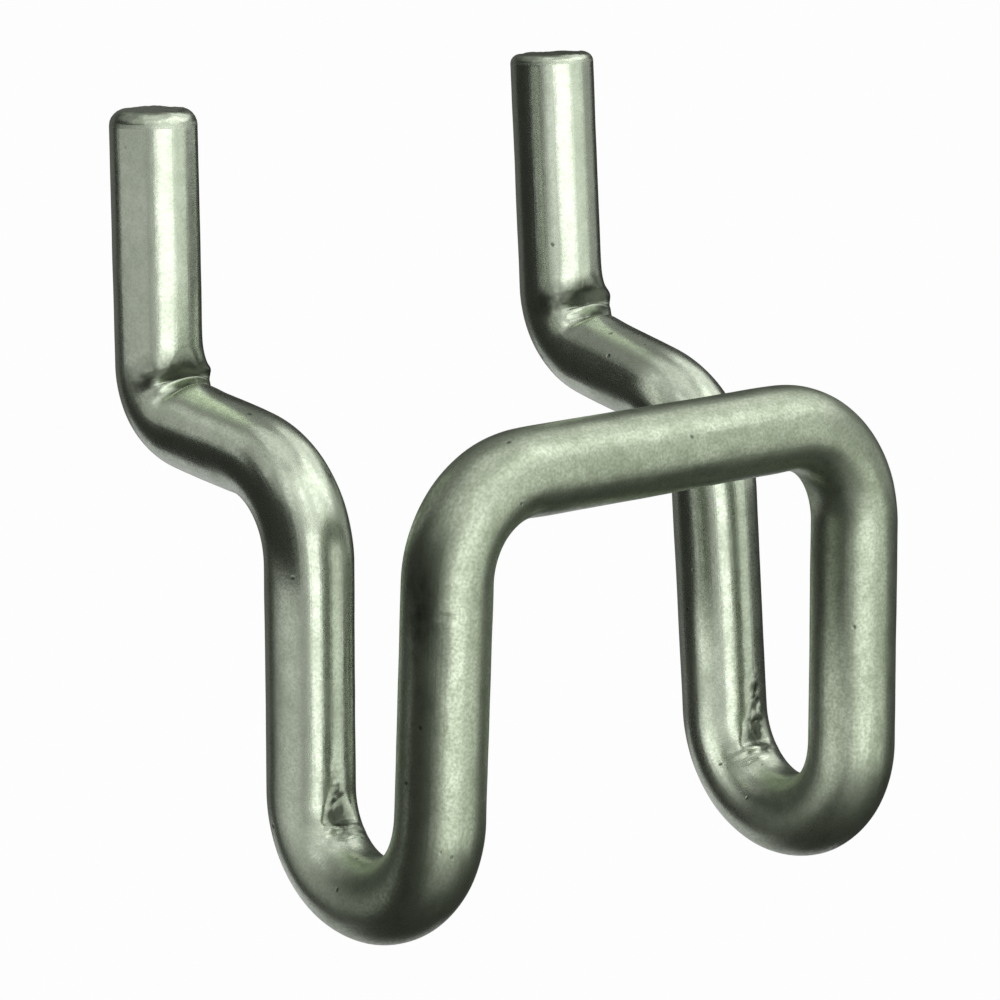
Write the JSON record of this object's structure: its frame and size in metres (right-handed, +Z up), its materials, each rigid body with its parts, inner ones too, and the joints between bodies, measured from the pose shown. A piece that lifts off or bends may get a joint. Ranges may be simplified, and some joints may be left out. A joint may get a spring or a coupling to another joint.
{
  "type": "pegboard tool hook",
  "caption": "Double-arm pegboard hook bent from one length of round zinc-plated wire, with upright prongs behind the board and a front loop for tools.",
  "frame": {"origin": "midway between the two back legs' centrelines, level with the corners at their tops, where the stubs go back into the board", "axes": "+X to the right of someone facing the board, +Y into the board, +Z up along the prongs"},
  "size_m": [0.0308, 0.0249, 0.0372],
  "materials": {
    "zinc_plated_wire": "bright zinc plate over drawn steel wire, satin, with faint draw lines and bending marks"
  },
  "bodies": {
    "root": {"hook_wire": "zinc_plated_wire"}
  },
  "joints": []
}
